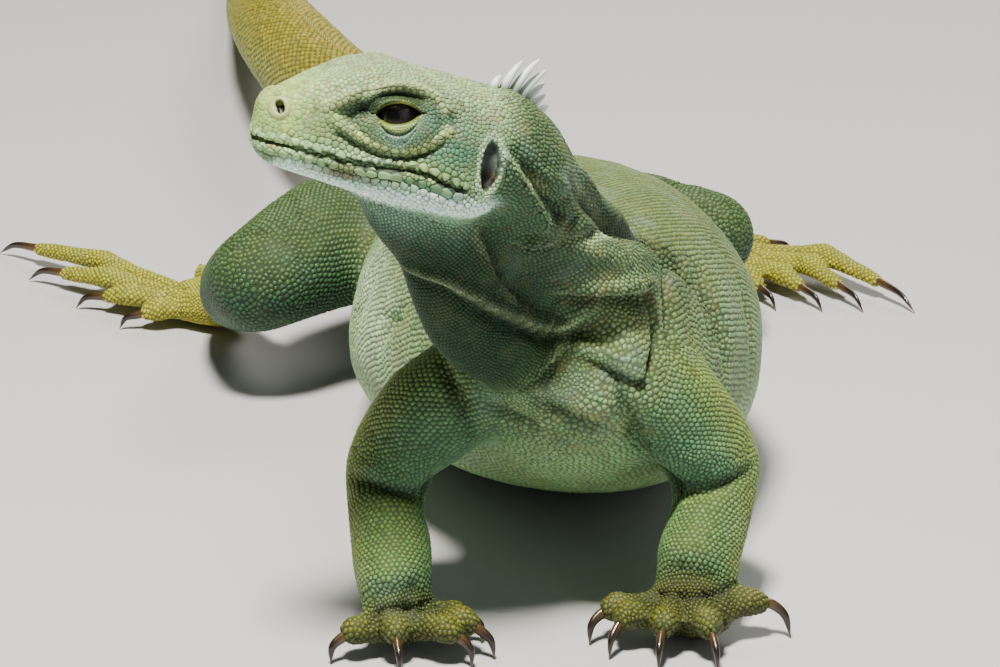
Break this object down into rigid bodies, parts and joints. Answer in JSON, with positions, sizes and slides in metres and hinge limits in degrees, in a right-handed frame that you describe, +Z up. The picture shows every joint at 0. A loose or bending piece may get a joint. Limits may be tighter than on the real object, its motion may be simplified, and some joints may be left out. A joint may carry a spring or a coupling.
{
  "type": "rock iguana model",
  "caption": "Life-size still model of a male rock iguana resting on its belly, chest raised on its front legs and head turned to its right, with a dewlap and a spiny crest on the nape",
  "frame": {"origin": "on the floor under the middle of the animal's bounding box", "axes": "+Z is up; the body faces -Y and the tail runs towards +Y; the animal's left side is +X"},
  "size_m": [0.2518, 0.6392, 0.1434],
  "materials": {
    "skin": "scaly, satin",
    "claw": "glossy horn",
    "eye": "wet, glossy"
  },
  "bodies": {
    "root": {"head": "skin", "eye_left": "eye", "eye_right": "eye", "neck": "skin", "dewlap": "skin", "trunk": "skin", "tail_1": "skin", "tail_2": "skin", "tail_3": "skin", "tail_4": "skin", "tail_5": "skin", "upper_arm_left": "skin", "forearm_left": "skin", "hand_left": "skin", "thigh_left": "skin", "shin_left": "skin", "foot_left": "skin", "claw_hand_left_1": "claw", "claw_hand_left_2": "claw", "claw_hand_left_3": "claw", "claw_hand_left_4": "claw", "claw_hand_left_5": "claw", "claw_foot_left_1": "claw", "claw_foot_left_2": "claw", "claw_foot_left_3": "claw", "claw_foot_left_4": "claw", "claw_foot_left_5": "claw", "upper_arm_right": "skin", "forearm_right": "skin", "hand_right": "skin", "thigh_right": "skin", "shin_right": "skin", "foot_right": "skin", "claw_hand_right_1": "claw", "claw_hand_right_2": "claw", "claw_hand_right_3": "claw", "claw_hand_right_4": "claw", "claw_hand_right_5": "claw", "claw_foot_right_1": "claw", "claw_foot_right_2": "claw", "claw_foot_right_3": "claw", "claw_foot_right_4": "claw", "claw_foot_right_5": "claw"}
  },
  "joints": []
}
